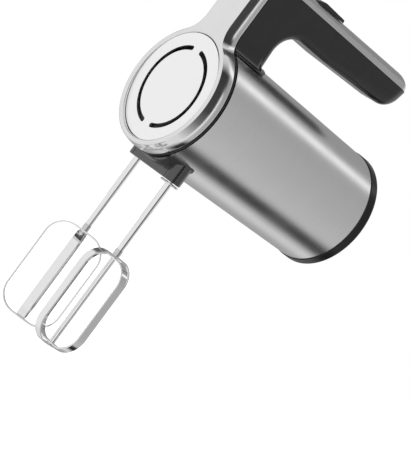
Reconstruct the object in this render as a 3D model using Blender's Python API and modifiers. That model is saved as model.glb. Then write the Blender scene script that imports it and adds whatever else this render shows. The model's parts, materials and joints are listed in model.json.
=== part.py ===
"""Hand mixer with a round steel body, a C-shaped handle and two strip beaters.

Design frame: X across the body, Y rearwards from the beater shafts, Z up from the body's axis.
A parent empty lifts the whole assembly so that the world origin lies under it, at beater-tip level.
"""

import bpy
import bmesh
from math import acos, atan2, cos, pi, radians, sin, tan
from mathutils import Matrix, Vector

# ---------------------------------------------------------------- driving dimensions (metres)

ORIGIN_Y = -0.0583             # world Y of the beater-shaft plane
ORIGIN_Z = 0.1915              # world Z of the body's axis
GAP = 0.0003                   # clearance between pieces that rest on each other

SLEEVE_FRONT_Y = -0.0178
SLEEVE_REAR_Y = 0.1401
SLEEVE_FRONT_R = 0.0479
SLEEVE_REAR_R = 0.0451
SLEEVE_WALL = 0.0010

HEEL_Y = 0.1484                # flat rear face of the cap
CAP_RIM = 0.0006               # the cap's rim stands this far proud of the sleeve
BEZEL_FRONT_Y = -0.0323
BEZEL_REAR_Y = -0.0197
BEZEL_R = 0.0475
BEZEL_FLARE_R = 0.018          # concave fillet between ring and neck
BEZEL_TOP_Z = 0.1094
NECK_HALF = 0.0163
GRILLE_R = 0.0419
BEZEL_BORE_R = GRILLE_R + GAP
GRILLE_TILT = radians(2.0)
VENT_R = 0.0302
VENT_WIDTH = 0.0033
VENT_BRIDGE = radians(11.0)    # half the angle of the solid bridge between the two slots
BAFFLE_Y = -0.0227
BAFFLE_TILT = radians(4.7)     # the baffle comes close behind the slots at the bottom
BAFFLE_THICKNESS = 0.0015

HANDLE_HALF = 0.0154
HANDLE_REAR_Y = 0.1330
HANDLE_WALL = 0.0032
SKIRT_FLARE_R = 0.0200         # concave fillet from the grip's sides to the sleeve
PAD_R = SLEEVE_FRONT_R + GAP + 0.0006    # outer face of the thin pad between grip and sleeve
TRIM_HALF = 0.0156
TRIM_TOP_Z = 0.1092
TRIM_CROWN_R = 0.0258
TRIM_BASE_Z = 0.1011           # joint line between trim and grip, above the shaft plane
TRIM_FALL = 0.0076             # its slope down towards the rear

BEATER_X = 0.0231              # each spindle's distance from the middle plane
SHAFT_R = 0.0025
TAIL_R = 0.0021                # thinner lower end of the beater shaft
SPINDLE_BORE_R = 0.0028
SPINDLE_R = 0.0040
BLOCK_BOTTOM_Z = -0.0528
BLOCK_HALF_X = 0.0298
BLOCK_HALF_Y = 0.0072
LOOP_HALF = 0.0226
LOOP_TOP_Z = -0.1156
LOOP_BOTTOM_Z = -0.1915
HUB_R = 0.0032
STRIP_THICKNESS = 0.0012
STRIP_WIDTH = 0.0064
LEFT_BEATER_TURN = radians(51.2)
RIGHT_BEATER_TURN = radians(96.2)

WHEEL_TEETH = 28
WORM_STARTS = 2
WHEEL_PITCH_R = 0.0182
WORM_PITCH_R = BEATER_X - WHEEL_PITCH_R
TOOTH_PITCH = 2 * pi * WHEEL_PITCH_R / WHEEL_TEETH
WORM_LEAD = WORM_STARTS * TOOTH_PITCH
WORM_HALF_LENGTH = 0.0115

MOTOR_SHAFT_R = 0.0025
KNOB_FRONT_Y = 0.0230
KNOB_REAR_Y = 0.0530
KNOB_TRAVEL = 0.0140
BUTTON_FRONT_Y = -0.0140
BUTTON_REAR_Y = -0.0020

SCREW_R = 0.0013
SCREW_HEAD_R = 0.0027
SCREW_HEAD_HEIGHT = 0.0018
HANDLE_SCREW_YS = (0.0740, 0.1130)
HANDLE_SCREW_Z = 0.0900

COLOURS = {
    "steel": ((0.62, 0.62, 0.63), 1.0, 0.32),
    "chrome": ((0.86, 0.86, 0.87), 1.0, 0.08),
    "silver": ((0.55, 0.55, 0.56), 0.9, 0.30),
    "black": ((0.02, 0.02, 0.02), 0.0, 0.18),
    "grey": ((0.12, 0.12, 0.12), 0.0, 0.45),
    "rubber": ((0.03, 0.03, 0.03), 0.0, 0.80),
    "nylon": ((0.80, 0.78, 0.72), 0.0, 0.50),
    "iron": ((0.25, 0.25, 0.26), 0.8, 0.55),
    "copper": ((0.72, 0.35, 0.18), 1.0, 0.35),
    "carbon": ((0.05, 0.05, 0.05), 0.2, 0.70),
    "board": ((0.05, 0.22, 0.10), 0.0, 0.50),
}


# ---------------------------------------------------------------- scene and helpers

def clear_scene():
    for item in list(bpy.data.objects):
        bpy.data.objects.remove(item, do_unlink=True)


def new_collection(name):
    made = bpy.data.collections.new(name)
    bpy.context.scene.collection.children.link(made)
    return made


def make_material(name, finish):
    colour, metallic, roughness = COLOURS[finish]
    material = bpy.data.materials.new(name)
    material.use_nodes = True
    shader = material.node_tree.nodes["Principled BSDF"]
    shader.inputs["Base Color"].default_value = (*colour, 1.0)
    shader.inputs["Metallic"].default_value = metallic
    shader.inputs["Roughness"].default_value = roughness
    return material


def add_mesh(name, bm, finish=None):
    """Put a bmesh in the scene: a named part with a finish, or a cutter without one."""
    mesh = bpy.data.meshes.new(name)
    bmesh.ops.recalc_face_normals(bm, faces=bm.faces)
    bm.to_mesh(mesh)
    bm.free()
    made = bpy.data.objects.new(name, mesh)
    if finish is None:
        CUTTERS.objects.link(made)
        made.hide_render = True
        made.display_type = "WIRE"
    else:
        PARTS.objects.link(made)
        mesh.materials.append(make_material(name, finish))
        mesh.shade_smooth()
        mesh.set_sharp_from_angle(angle=radians(35))
    return made


def box(name, low, high, finish=None, bevel=0.0):
    """A block between two corners, its edges rounded by bevel."""
    bm = bmesh.new()
    size = Vector(high) - Vector(low)
    middle = (Vector(high) + Vector(low)) / 2
    bmesh.ops.create_cube(bm, size=1.0, matrix=Matrix.Translation(middle) @ Matrix.Diagonal((*size, 1.0)))
    made = add_mesh(name, bm, finish)
    if bevel > 0:
        round_edges(made, bevel)
    return made


def rod(name, start, end, radius, finish=None, segments=24):
    """A cylinder between two points."""
    start, end = Vector(start), Vector(end)
    turn = (end - start).to_track_quat("Z", "Y").to_matrix().to_4x4()
    bm = bmesh.new()
    bmesh.ops.create_cone(
        bm, cap_ends=True, segments=segments, radius1=radius, radius2=radius, depth=(end - start).length,
        matrix=Matrix.Translation((start + end) / 2) @ turn)
    return add_mesh(name, bm, finish)


def turned(name, profile, finish=None, segments=32, along_y=True, centre=(0, 0, 0)):
    """Turn a closed (radius, distance) profile about its axis, which lies along Y or Z."""
    bm = bmesh.new()
    verts = [bm.verts.new((radius, 0.0, distance)) for radius, distance in profile]
    for first, second in zip(verts, verts[1:] + verts[:1]):
        if first.co.x > 0 or second.co.x > 0:
            bm.edges.new((first, second))
    mesh = bpy.data.meshes.new(name)
    bm.to_mesh(mesh)
    bm.free()
    source = bpy.data.objects.new(name + "_profile", mesh)
    CUTTERS.objects.link(source)
    screw = source.modifiers.new("turn", "SCREW")
    screw.steps = screw.render_steps = segments
    screw.use_merge_vertices = True
    screw.merge_threshold = 0.00001
    bm = evaluated_bmesh(source)
    if along_y:
        bmesh.ops.rotate(bm, verts=bm.verts, cent=(0, 0, 0), matrix=Matrix.Rotation(-pi / 2, 3, "X"))
    bmesh.ops.translate(bm, verts=bm.verts, vec=centre)
    return add_mesh(name, bm, finish)


def evaluated_bmesh(source, discard=True):
    """The evaluated shape of an object as welded mesh data; a guide object is removed."""
    bpy.context.view_layer.update()
    depsgraph = bpy.context.evaluated_depsgraph_get()
    mesh = bpy.data.meshes.new_from_object(source.evaluated_get(depsgraph))
    bm = bmesh.new()
    bm.from_mesh(mesh)
    bm.transform(source.matrix_world)
    bmesh.ops.remove_doubles(bm, verts=bm.verts, dist=0.000005)
    bmesh.ops.dissolve_degenerate(bm, edges=bm.edges, dist=0.000005)
    bpy.data.meshes.remove(mesh)
    if discard:
        bpy.data.objects.remove(source, do_unlink=True)
    return bm


def mirrored_copy(name, source, finish):
    """The same piece reflected in the middle plane."""
    bm = evaluated_bmesh(source, discard=False)
    bmesh.ops.scale(bm, verts=bm.verts, vec=(-1, 1, 1))
    return add_mesh(name, bm, finish)


PLANES = {
    "XY": Matrix.Identity(4),
    "YZ": Matrix(((0, 0, 1, 0), (1, 0, 0, 0), (0, 1, 0, 0), (0, 0, 0, 1))),
    "XZ": Matrix(((1, 0, 0, 0), (0, 0, -1, 0), (0, 1, 0, 0), (0, 0, 0, 1))),
}


def slab(name, outlines, low, high, plane, finish=None, edge=0.0, steps=2, turn=0.0, centre=(0, 0, 0)):
    """Extrude flat outlines (the later ones are holes) between two depths across their plane."""
    curve = bpy.data.curves.new(name, "CURVE")
    curve.dimensions = "2D"
    curve.fill_mode = "BOTH"
    curve.extrude = (high - low) / 2 - edge
    curve.bevel_depth = edge
    curve.offset = -edge
    curve.bevel_resolution = steps
    for outline in outlines:
        spline = curve.splines.new("POLY")
        spline.points.add(len(outline) - 1)
        for point, (across, up) in zip(spline.points, outline):
            point.co = (across, up, 0.0, 1.0)
        spline.use_cyclic_u = True
    source = bpy.data.objects.new(name + "_outline", curve)
    CUTTERS.objects.link(source)
    middle = (low + high) / 2
    depth = {"XY": (0, 0, middle), "YZ": (middle, 0, 0), "XZ": (0, middle, 0)}[plane]
    source.matrix_world = (Matrix.Translation(centre) @ Matrix.Rotation(turn, 4, "Z")
                           @ Matrix.Translation(depth) @ PLANES[plane])
    bm = evaluated_bmesh(source)
    bpy.data.curves.remove(curve)
    return add_mesh(name, bm, finish)


def round_edges(part, width, segments=2, angle=40):
    bevel = part.modifiers.new("rounded edges", "BEVEL")
    bevel.width = width
    bevel.segments = segments
    bevel.limit_method = "ANGLE"
    bevel.angle_limit = radians(angle)


def boolean(part, operation, *others):
    for other in others:
        modifier = part.modifiers.new(other.name, "BOOLEAN")
        modifier.operation = operation
        modifier.solver = "EXACT"
        modifier.object = other


def cut(part, *others):
    boolean(part, "DIFFERENCE", *others)


def join(part, *others):
    boolean(part, "UNION", *others)


def keep(part, *others):
    boolean(part, "INTERSECT", *others)


def arc(centre, radius, start, end, steps):
    """Points along an arc, both ends included."""
    return [(centre[0] + radius * cos(start + (end - start) * i / steps),
             centre[1] + radius * sin(start + (end - start) * i / steps)) for i in range(steps + 1)]


def circle(radius, steps=32, centre=(0.0, 0.0)):
    return arc(centre, radius, 0.0, 2 * pi * (steps - 1) / steps, steps - 1)


def rounded(corners, steps=4):
    """An outline from (across, up, radius) corners, each corner replaced by its arc."""
    outline = []
    for i, (x, y, radius) in enumerate(corners):
        here = Vector((x, y))
        if radius == 0:
            outline.append((x, y))
            continue
        before = (Vector(corners[i - 1][:2]) - here).normalized()
        after = (Vector(corners[(i + 1) % len(corners)][:2]) - here).normalized()
        half = acos(max(-1.0, min(1.0, before.dot(after)))) / 2
        centre = here + (before + after).normalized() * (radius / sin(half))
        first = here + before * (radius / tan(half)) - centre
        last = here + after * (radius / tan(half)) - centre
        start = atan2(first.y, first.x)
        sweep = atan2(last.y, last.x) - start
        sweep = (sweep + pi) % (2 * pi) - pi
        outline += arc(centre, radius, start, start + sweep, steps)
    return outline


def rectangle(low_x, low_y, high_x, high_y, radius=0.0, steps=4):
    return rounded([(low_x, low_y, radius), (high_x, low_y, radius),
                    (high_x, high_y, radius), (low_x, high_y, radius)], steps)


# ---------------------------------------------------------------- body

def make_sleeve():
    front, rear = SLEEVE_FRONT_R, SLEEVE_REAR_R
    sleeve = turned("body_sleeve", [
        (rear, SLEEVE_REAR_Y), (front, SLEEVE_FRONT_Y),
        (front - SLEEVE_WALL, SLEEVE_FRONT_Y), (rear - SLEEVE_WALL, SLEEVE_REAR_Y)], "steel", 64)
    block_notch = box("sleeve_block_notch", (-BLOCK_HALF_X - GAP, SLEEVE_FRONT_Y - 0.001, -0.060),
                      (BLOCK_HALF_X + GAP, BLOCK_HALF_Y + GAP, -0.020))
    neck_hole = box("sleeve_neck_hole", (-0.011, -0.013, 0.030), (0.011, 0.006, 0.060))
    cut(sleeve, block_notch, neck_hole)


def make_rear_cap():
    lip_y = SLEEVE_REAR_Y + GAP
    rim = SLEEVE_REAR_R + CAP_RIM
    spigot = SLEEVE_REAR_R - SLEEVE_WALL - GAP
    cap = turned("rear_cap", [
        (0.0, HEEL_Y), (rim - 0.0020, HEEL_Y), (rim - 0.0008, HEEL_Y - 0.0003),
        (rim - 0.0002, HEEL_Y - 0.0009), (rim, HEEL_Y - 0.0020), (rim, lip_y), (spigot, lip_y),
        (spigot, lip_y - 0.0090), (spigot - 0.0020, lip_y - 0.0090), (spigot - 0.0020, HEEL_Y - 0.0026),
        (0.0, HEEL_Y - 0.0026)], "black", 48)
    for i in range(5):
        z = (i - 2) * 0.0070
        half = 0.0160 - abs(i - 2) * 0.0025
        cut(cap, slab("outlet_%d" % i, [rectangle(-half, z - 0.0014, half, z + 0.0014, 0.0013)],
                      HEEL_Y - 0.006, HEEL_Y + 0.002, "XZ"))


def bezel_outline(steps=5):
    """Ring and neck seen from the front; the ring flows into the neck through a concave fillet."""
    flare_x = NECK_HALF + BEZEL_FLARE_R
    reach = BEZEL_R + BEZEL_FLARE_R
    flare_z = (reach ** 2 - flare_x ** 2) ** 0.5
    angle = atan2(flare_z, flare_x)
    right = arc((0, 0), BEZEL_R, -pi / 2, angle, 22)
    right += arc((flare_x, flare_z), BEZEL_FLARE_R, angle + pi, pi, steps)[1:]
    right += arc((NECK_HALF - 0.006, BEZEL_TOP_Z - 0.006), 0.006, 0, pi / 2, 3)
    return right + [(-x, z) for x, z in reversed(right[1:])]


def make_bezel():
    bezel = slab("front_bezel", [bezel_outline()], BEZEL_FRONT_Y, BEZEL_REAR_Y, "XZ", "chrome",
                 edge=0.0022)
    ring_bore = rod("bezel_bore", (0, -0.040, 0), (0, 0, 0), BEZEL_BORE_R, segments=48)
    neck_cavity = box("bezel_neck_cavity", (-NECK_HALF + 0.003, BEZEL_FRONT_Y + 0.0021, 0.036),
                      (NECK_HALF - 0.003, 0.0, 0.096))
    side = slab("bezel_side_view", [rounded([(BEZEL_FRONT_Y, -0.060, 0), (0.0, -0.060, 0),
                                             (0.0, BEZEL_TOP_Z, 0),
                                             (BEZEL_FRONT_Y, BEZEL_TOP_Z, 0.012)], 5)],
                -0.070, 0.070, "YZ")
    keep(bezel, side)
    cut(bezel, ring_bore, neck_cavity)


def vent_slot(side):
    """One arc slot with round ends, on the right (+1) or the left (-1)."""
    end = pi / 2 - VENT_BRIDGE
    half = VENT_WIDTH / 2
    low = (VENT_R * cos(-end), VENT_R * sin(-end))
    high = (VENT_R * cos(end), VENT_R * sin(end))
    points = arc((0, 0), VENT_R + half, -end, end, 16)
    points += arc(high, half, end, end + pi, 4)[1:-1]
    points += arc((0, 0), VENT_R - half, end, -end, 16)
    points += arc(low, half, -end + pi, -end + 2 * pi, 4)[1:-1]
    return [(side * x, z) for x, z in points]


def make_grille():
    grille = slab("vent_grille", [circle(GRILLE_R, 48), vent_slot(1), vent_slot(-1)], -0.0010, 0.0010,
                  "XZ", "silver")
    grille.matrix_world = Matrix.Translation((0, -0.0294, 0)) @ Matrix.Rotation(GRILLE_TILT, 4, "X")
    half = BAFFLE_THICKNESS / 2
    baffle = turned("air_baffle", [(0.0395, half), (0.0395, -half), (0.0240, -half), (0.0240, half)],
                    "grey", 32)
    baffle.matrix_world = Matrix.Translation((0, BAFFLE_Y, 0)) @ Matrix.Rotation(-BAFFLE_TILT, 4, "X")


def make_gasket():
    front = BEZEL_REAR_Y + GAP
    rear = SLEEVE_FRONT_Y - GAP
    outer = SLEEVE_FRONT_R - 0.0005
    turned("bezel_gasket", [(outer, rear), (outer, front), (BEZEL_BORE_R, front), (BEZEL_BORE_R, rear)],
           "rubber", 64)


def make_socket_block():
    block = slab("socket_block", [rectangle(-BLOCK_HALF_X, -BLOCK_HALF_Y, BLOCK_HALF_X, BLOCK_HALF_Y,
                                            0.0060, 6)], BLOCK_BOTTOM_Z, -0.0340, "XY", "black",
                 edge=0.0006, steps=1)
    saddle = slab("block_saddle", [rectangle(-BLOCK_HALF_X, SLEEVE_FRONT_Y + 2 * GAP, BLOCK_HALF_X, BLOCK_HALF_Y,
                                             0.0020, 2)], -0.0500, -0.0340, "XY")
    cove = slab("block_cove", [arc((-0.0150, -0.0537), 0.0075, 0, pi, 12) + [(-0.0300, -0.070),
                                                                             (-0.0075, -0.070)]],
                -0.040, 0.040, "YZ")
    body_curve = rod("block_body_curve", (0, -0.030, 0), (0, 0.030, 0), SLEEVE_FRONT_R + 0.0006,
                     segments=64)
    keep(saddle, body_curve)
    join(block, saddle)
    cut(block, cove)
    for x in (-BEATER_X, BEATER_X):
        cut(block, rod("block_bore", (x, 0, -0.060), (x, 0, -0.030), SPINDLE_R + 2 * GAP, segments=20))


# ---------------------------------------------------------------- handle

def handle_outline():
    """Side view of the C-shaped grip, taller than the real one so that the trim plane cuts it."""
    return rounded([
        (-0.0300, 0.0360, 0), (0.0145, 0.0360, 0), (0.0112, 0.0795, 0.009), (0.0540, 0.0787, 0.030), (0.0900, 0.0801, 0.050),
        (0.1280, 0.0815, 0.016), (HANDLE_REAR_Y, 0.1020, 0.008), (HANDLE_REAR_Y, 0.1180, 0),
        (-0.0300, 0.1180, 0)], 5)


def crown_rod(name, radius):
    """The cylinder that the trim's crown is part of."""
    return rod(name, (0, -0.040, TRIM_TOP_Z - TRIM_CROWN_R), (0, 0.150, TRIM_TOP_Z - TRIM_CROWN_R), radius,
               segments=96)


def trim_underside(drop=0.0):
    """The sloping joint line between trim and grip, longer than the handle at both ends."""
    return [(y, TRIM_BASE_Z - TRIM_FALL * y - drop) for y in (-0.0300, 0.1500)]


def handle_plan(half):
    """Plan view of the grip: straight sides and a rounded rear end."""
    return rounded([(-half, BEZEL_REAR_Y + GAP, 0), (half, BEZEL_REAR_Y + GAP, 0),
                    (half, HANDLE_REAR_Y, 0.010), (-half, HANDLE_REAR_Y, 0.010)], 6)


def make_trim():
    end = arc((HANDLE_REAR_Y - 0.0100, TRIM_TOP_Z - 0.0100), 0.0100, 0, pi / 2, 6)
    trim = slab("handle_top_trim", [end + [(-0.0300, TRIM_TOP_Z), (-0.0300, 0.0880), (HANDLE_REAR_Y, 0.0880)]],
                -TRIM_HALF, TRIM_HALF, "YZ", "silver")
    upper = slab("trim_upper_side", [trim_underside() + [(0.150, 0.130), (-0.0300, 0.130)]],
                 -0.030, 0.030, "YZ")
    plan = slab("trim_plan", [handle_plan(TRIM_HALF)], 0.080, 0.130, "XY")
    knob_slot = box("trim_knob_slot", (-0.0022, KNOB_REAR_Y - 0.018 - KNOB_TRAVEL - GAP, 0.090),
                    (0.0022, KNOB_REAR_Y - 0.010 + GAP, 0.120))
    button_hole = box("trim_button_hole", (-0.0063, BUTTON_FRONT_Y - GAP, 0.090),
                      (0.0063, BUTTON_REAR_Y + GAP, 0.120))
    keep(trim, crown_rod("trim_crown", TRIM_CROWN_R), upper, plan)
    cut(trim, knob_slot, button_hole)


def handle_cutters():
    """Everything that shapes the left half of the grip: what it keeps, and what is removed."""
    half_space = box("handle_half_space", (-0.040, -0.050, 0.0), (-GAP / 2, 0.200, 0.140))
    below_trim = slab("handle_below_trim", [[(-0.0310, 0.020), (0.150, 0.020)]
                                            + list(reversed(trim_underside(GAP)))], -0.030, 0.030, "YZ")
    plan = slab("handle_plan", [handle_plan(HANDLE_HALF + 0.010)], 0.020, 0.130, "XY")
    inside = HANDLE_HALF - HANDLE_WALL
    cavity = slab("handle_cavity", [[(-0.0166, 0.030), (0.0070, 0.030), (0.0070, 0.0840),
                                     (0.1165, 0.0850), (0.1225, 0.0890), (0.1225, 0.0945),
                                     (-0.0166, 0.0975)]], -inside, inside, "YZ")
    foot = rod("handle_foot_curve", (0, -0.050, 0), (0, 0.050, 0), PAD_R + GAP, segments=96)
    knob_slot = box("handle_knob_slot", (-0.0022, KNOB_REAR_Y - 0.018 - KNOB_TRAVEL - GAP, 0.090),
                    (0.0022, KNOB_REAR_Y - 0.010 + GAP, 0.120))
    button_hole = box("handle_button_hole", (-0.0063, BUTTON_FRONT_Y - GAP, 0.090),
                      (0.0063, BUTTON_REAR_Y + GAP, 0.120))
    inlet = rod("handle_inlet_hole", (0, 0.120, 0.0905), (0, 0.150, 0.0905), 0.0050 + GAP, segments=24)
    return [half_space, below_trim, plan], [cavity, foot, knob_slot, button_hole, inlet]


def make_skirt():
    """The flared lower end of the grip: its front view, plan and side view intersected."""
    reach = SLEEVE_FRONT_R - GAP + SKIRT_FLARE_R
    across = HANDLE_HALF + SKIRT_FLARE_R
    up = (reach ** 2 - across ** 2) ** 0.5
    tangent = atan2(up, across)
    right = arc((across, up), SKIRT_FLARE_R + 0.0001, pi + tangent, pi, 8)
    front = [(0.0250, 0.0300)] + right + [(-x, z) for x, z in reversed(right)] + [(-0.0250, 0.0300)]
    side = rounded([(-0.0300, 0.0380, 0), (0.0240, 0.0380, 0), (0.0240, 0.0440, 0), (0.0132, 0.0500, 0.006),
                    (0.0126, 0.0620, 0), (-0.0300, 0.0620, 0)], 5)
    skirt = slab("skirt_front_view", [front], BEZEL_REAR_Y + GAP, 0.0300, "XZ")
    keep(skirt, slab("skirt_plan", [foot_plan(0.0230, 0.0165)], 0.020, 0.080, "XY"),
         slab("skirt_side_view", [side], -0.040, 0.040, "YZ"))
    return skirt


def make_handle():
    """Two mirrored half shells, held together by two screws driven from the left."""
    shell = slab("handle_left_shell", [handle_outline()], -HANDLE_HALF, HANDLE_HALF, "YZ", "black",
                 edge=0.0060, steps=2)
    kept, removed = handle_cutters()
    join(shell, make_skirt())
    keep(shell, *kept)
    cut(shell, *removed)
    seam_x = -GAP / 2
    for y in HANDLE_SCREW_YS:
        join(shell, rod("screw_boss", (-HANDLE_HALF + 0.0010, y, HANDLE_SCREW_Z), (seam_x, y, HANDLE_SCREW_Z),
                        0.0036, segments=16))
        cut(shell, rod("screw_bore", (-0.0100, y, HANDLE_SCREW_Z), (0.0010, y, HANDLE_SCREW_Z),
                       SCREW_R + GAP, segments=12))
    mirrored_copy("handle_right_shell", shell, "black")
    for index, y in enumerate(HANDLE_SCREW_YS):
        cut(shell, rod("screw_sink", (-0.0200, y, HANDLE_SCREW_Z), (-0.0090, y, HANDLE_SCREW_Z),
                       SCREW_HEAD_R + GAP, segments=16))
        make_screw("handle_screw_%d" % (index + 1), (-0.0090 - GAP, y, HANDLE_SCREW_Z), (1, 0, 0), 0.0160)


def foot_plan(half, rear):
    """Footprint of the grip on the sleeve: square in front, widely rounded behind."""
    front = BEZEL_REAR_Y + GAP
    return rounded([(-half, front, 0), (half, front, 0), (half, rear, 0.0115), (-half, rear, 0.0115)], 6)


def make_handle_foot():
    foot = slab("handle_foot", [foot_plan(0.0222, 0.0172)], 0.030, 0.060, "XY", "black")
    outer = rod("foot_outer_curve", (0, -0.050, 0), (0, 0.050, 0), PAD_R, segments=96)
    inner = rod("foot_inner_curve", (0, -0.050, 0), (0, 0.050, 0), SLEEVE_FRONT_R + GAP, segments=96)
    opening = box("foot_opening", (-0.011, -0.0125, 0.030), (0.011, 0.006, 0.060))
    keep(foot, outer)
    cut(foot, inner, opening)


def make_cord_inlet():
    turned("cord_inlet", [(0.0050, 0.1300), (0.0050, 0.1230), (0.0028, 0.1230), (0.0028, 0.1300)],
           "rubber", 20, centre=(0, 0, 0.0905))


# ---------------------------------------------------------------- controls

def make_speed_slider():
    knob = slab("speed_knob", [rounded([(KNOB_FRONT_Y, 0.1070, 0), (KNOB_REAR_Y, 0.1070, 0),
                                        (KNOB_REAR_Y - 0.0004, 0.1112, 0.0012),
                                        (KNOB_FRONT_Y + 0.0080, 0.1121, 0.002),
                                        (KNOB_FRONT_Y, 0.1096, 0)], 2)],
                -0.0062, 0.0062, "YZ", "black", edge=0.0007, steps=1)
    cut(knob, crown_rod("knob_underside", TRIM_CROWN_R + GAP))
    stem = box("knob_stem", (-0.0018, KNOB_REAR_Y - 0.018, 0.0975), (0.0018, KNOB_REAR_Y - 0.010, 0.1105))
    join(knob, stem)
    box("slider_carriage", (-0.0075, KNOB_REAR_Y - 0.022, 0.0930), (0.0075, KNOB_REAR_Y - 0.006, 0.0958),
        "nylon", 0.0005)
    board = box("switch_board", (-0.0095, 0.0100, 0.0862), (0.0095, 0.0660, 0.0878), "board")
    switch = box("board_switch", (-0.0060, 0.0130, 0.0876), (0.0060, 0.0560, 0.0922))
    join(board, switch)


def make_ejector():
    middle_y = (BUTTON_FRONT_Y + BUTTON_REAR_Y) / 2
    button = box("eject_button", (-0.0060, BUTTON_FRONT_Y, 0.0980), (0.0060, BUTTON_REAR_Y, 0.1118),
                 "black", 0.0008)
    flange = box("button_flange", (-0.0080, BUTTON_FRONT_Y - 0.0010, 0.0945),
                 (0.0080, BUTTON_REAR_Y + 0.0010, 0.0967))
    neck = box("button_neck", (-0.0040, middle_y - 0.004, 0.0960), (0.0040, middle_y + 0.004, 0.0990))
    join(button, neck, flange)
    rod("eject_rod", (0, middle_y, 0.0215), (0, middle_y, 0.0942), 0.0022, "steel", 16)
    yoke = box("eject_yoke", (-0.0275, -0.0120, 0.0172), (0.0275, 0.0040, 0.0198), "grey", 0.0006)
    boss = rod("yoke_boss", (0, middle_y, 0.0180), (0, middle_y, 0.0212), 0.0040, segments=16)
    join(yoke, boss)
    for x in (-BEATER_X, BEATER_X):
        join(yoke, rod("yoke_pin", (x, 0, 0.0152), (x, 0, 0.0180), 0.0022, segments=16))
    spring_points = []
    turns, per_turn, radius = 6, 8, 0.0038
    for i in range(turns * per_turn + 1):
        angle = 2 * pi * i / per_turn
        z = 0.0755 + (0.0935 - 0.0755) * i / (turns * per_turn)
        spring_points.append((radius * cos(angle), middle_y + radius * sin(angle), z))
    wire("eject_spring", spring_points, 0.0005, "steel")
    shelf = box("spring_shelf", (-0.0119, -0.0160, 0.0720), (0.0119, 0.0060, 0.0746), "grey")
    cut(shelf, rod("shelf_hole", (0, middle_y, 0.060), (0, middle_y, 0.090), 0.0027, segments=16))


def wire(name, points, radius, finish):
    """A round wire through the points, ends capped."""
    curve = bpy.data.curves.new(name, "CURVE")
    curve.dimensions = "3D"
    curve.bevel_depth = radius
    curve.bevel_resolution = 0
    curve.use_fill_caps = True
    spline = curve.splines.new("POLY")
    spline.points.add(len(points) - 1)
    for point, place in zip(spline.points, points):
        point.co = (*place, 1.0)
    source = bpy.data.objects.new(name + "_wire", curve)
    CUTTERS.objects.link(source)
    bm = evaluated_bmesh(source)
    bpy.data.curves.remove(curve)
    return add_mesh(name, bm, finish)


# ---------------------------------------------------------------- gearbox

def toothed_outline(teeth, root, tip, root_fill, tip_fill, phase=0.0):
    """A trapezoidal gear outline; the fills are each flank's share of one tooth pitch."""
    outline = []
    for i in range(teeth):
        middle = 2 * pi * i / teeth + phase
        pitch = 2 * pi / teeth
        for radius, share in ((root, -root_fill), (tip, -tip_fill), (tip, tip_fill), (root, root_fill)):
            angle = middle + share * pitch / 2
            outline.append((radius * cos(angle), radius * sin(angle)))
    return outline


def twisted(name, outline, low, high, twist, steps, finish, along_y=False, centre=(0, 0, 0)):
    """Extrude an outline upwards in steps, turning it evenly as it rises."""
    bm = bmesh.new()
    face = bm.faces.new([bm.verts.new((x, y, low)) for x, y in outline])
    for step in range(steps):
        made = bmesh.ops.extrude_face_region(bm, geom=[face])["geom"]
        verts = [item for item in made if isinstance(item, bmesh.types.BMVert)]
        top = [item for item in made if isinstance(item, bmesh.types.BMFace)][0]
        bmesh.ops.translate(bm, verts=verts, vec=(0, 0, (high - low) / steps))
        bmesh.ops.rotate(bm, verts=verts, cent=(0, 0, 0), matrix=Matrix.Rotation(twist / steps, 3, "Z"))
        if step > 0:
            bm.faces.remove(face)
        face = top
    bmesh.ops.rotate(bm, verts=bm.verts, cent=(0, 0, 0), matrix=Matrix.Rotation(-twist / 2, 3, "Z"))
    if along_y:
        bmesh.ops.rotate(bm, verts=bm.verts, cent=(0, 0, 0), matrix=Matrix.Rotation(-pi / 2, 3, "X"))
    bmesh.ops.translate(bm, verts=bm.verts, vec=centre)
    return add_mesh(name, bm, finish)


def make_worm_drive():
    length = 2 * WORM_HALF_LENGTH
    turns = length / WORM_LEAD
    section = toothed_outline(WORM_STARTS, 0.0034, 0.0059, 0.72, 0.26)
    worm = twisted("worm", section, -WORM_HALF_LENGTH, WORM_HALF_LENGTH, 2 * pi * turns,
                   int(turns * 12), "steel", along_y=True)
    cut(worm, rod("worm_bore", (0, -0.020, 0), (0, 0.020, 0), MOTOR_SHAFT_R + GAP, segments=16))
    face = 0.0050
    wheel_twist = WORM_LEAD / (2 * pi * WORM_PITCH_R) * face / WHEEL_PITCH_R
    for name, x in (("left_worm_wheel", -BEATER_X), ("right_worm_wheel", BEATER_X)):
        mesh_side = 0.0 if x < 0 else pi
        phase = mesh_side + pi / WHEEL_TEETH
        teeth = toothed_outline(WHEEL_TEETH, 0.0168, 0.0193, 0.62, 0.22, phase)
        wheel = twisted(name, teeth, -face / 2, face / 2, wheel_twist, 1, "nylon", centre=(x, 0, 0))
        cut(wheel, rod("wheel_bore", (x, 0, -0.02), (x, 0, 0.02), SPINDLE_R + GAP, segments=16))


def make_spindles():
    for name, x in (("left_spindle", -BEATER_X), ("right_spindle", BEATER_X)):
        turned(name, [(SPINDLE_R, 0.0120), (SPINDLE_R, BLOCK_BOTTOM_Z + GAP),
                      (SPINDLE_BORE_R, BLOCK_BOTTOM_Z + GAP), (SPINDLE_BORE_R, 0.0120)],
               "steel", 20, along_y=False, centre=(x, 0, 0))


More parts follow.
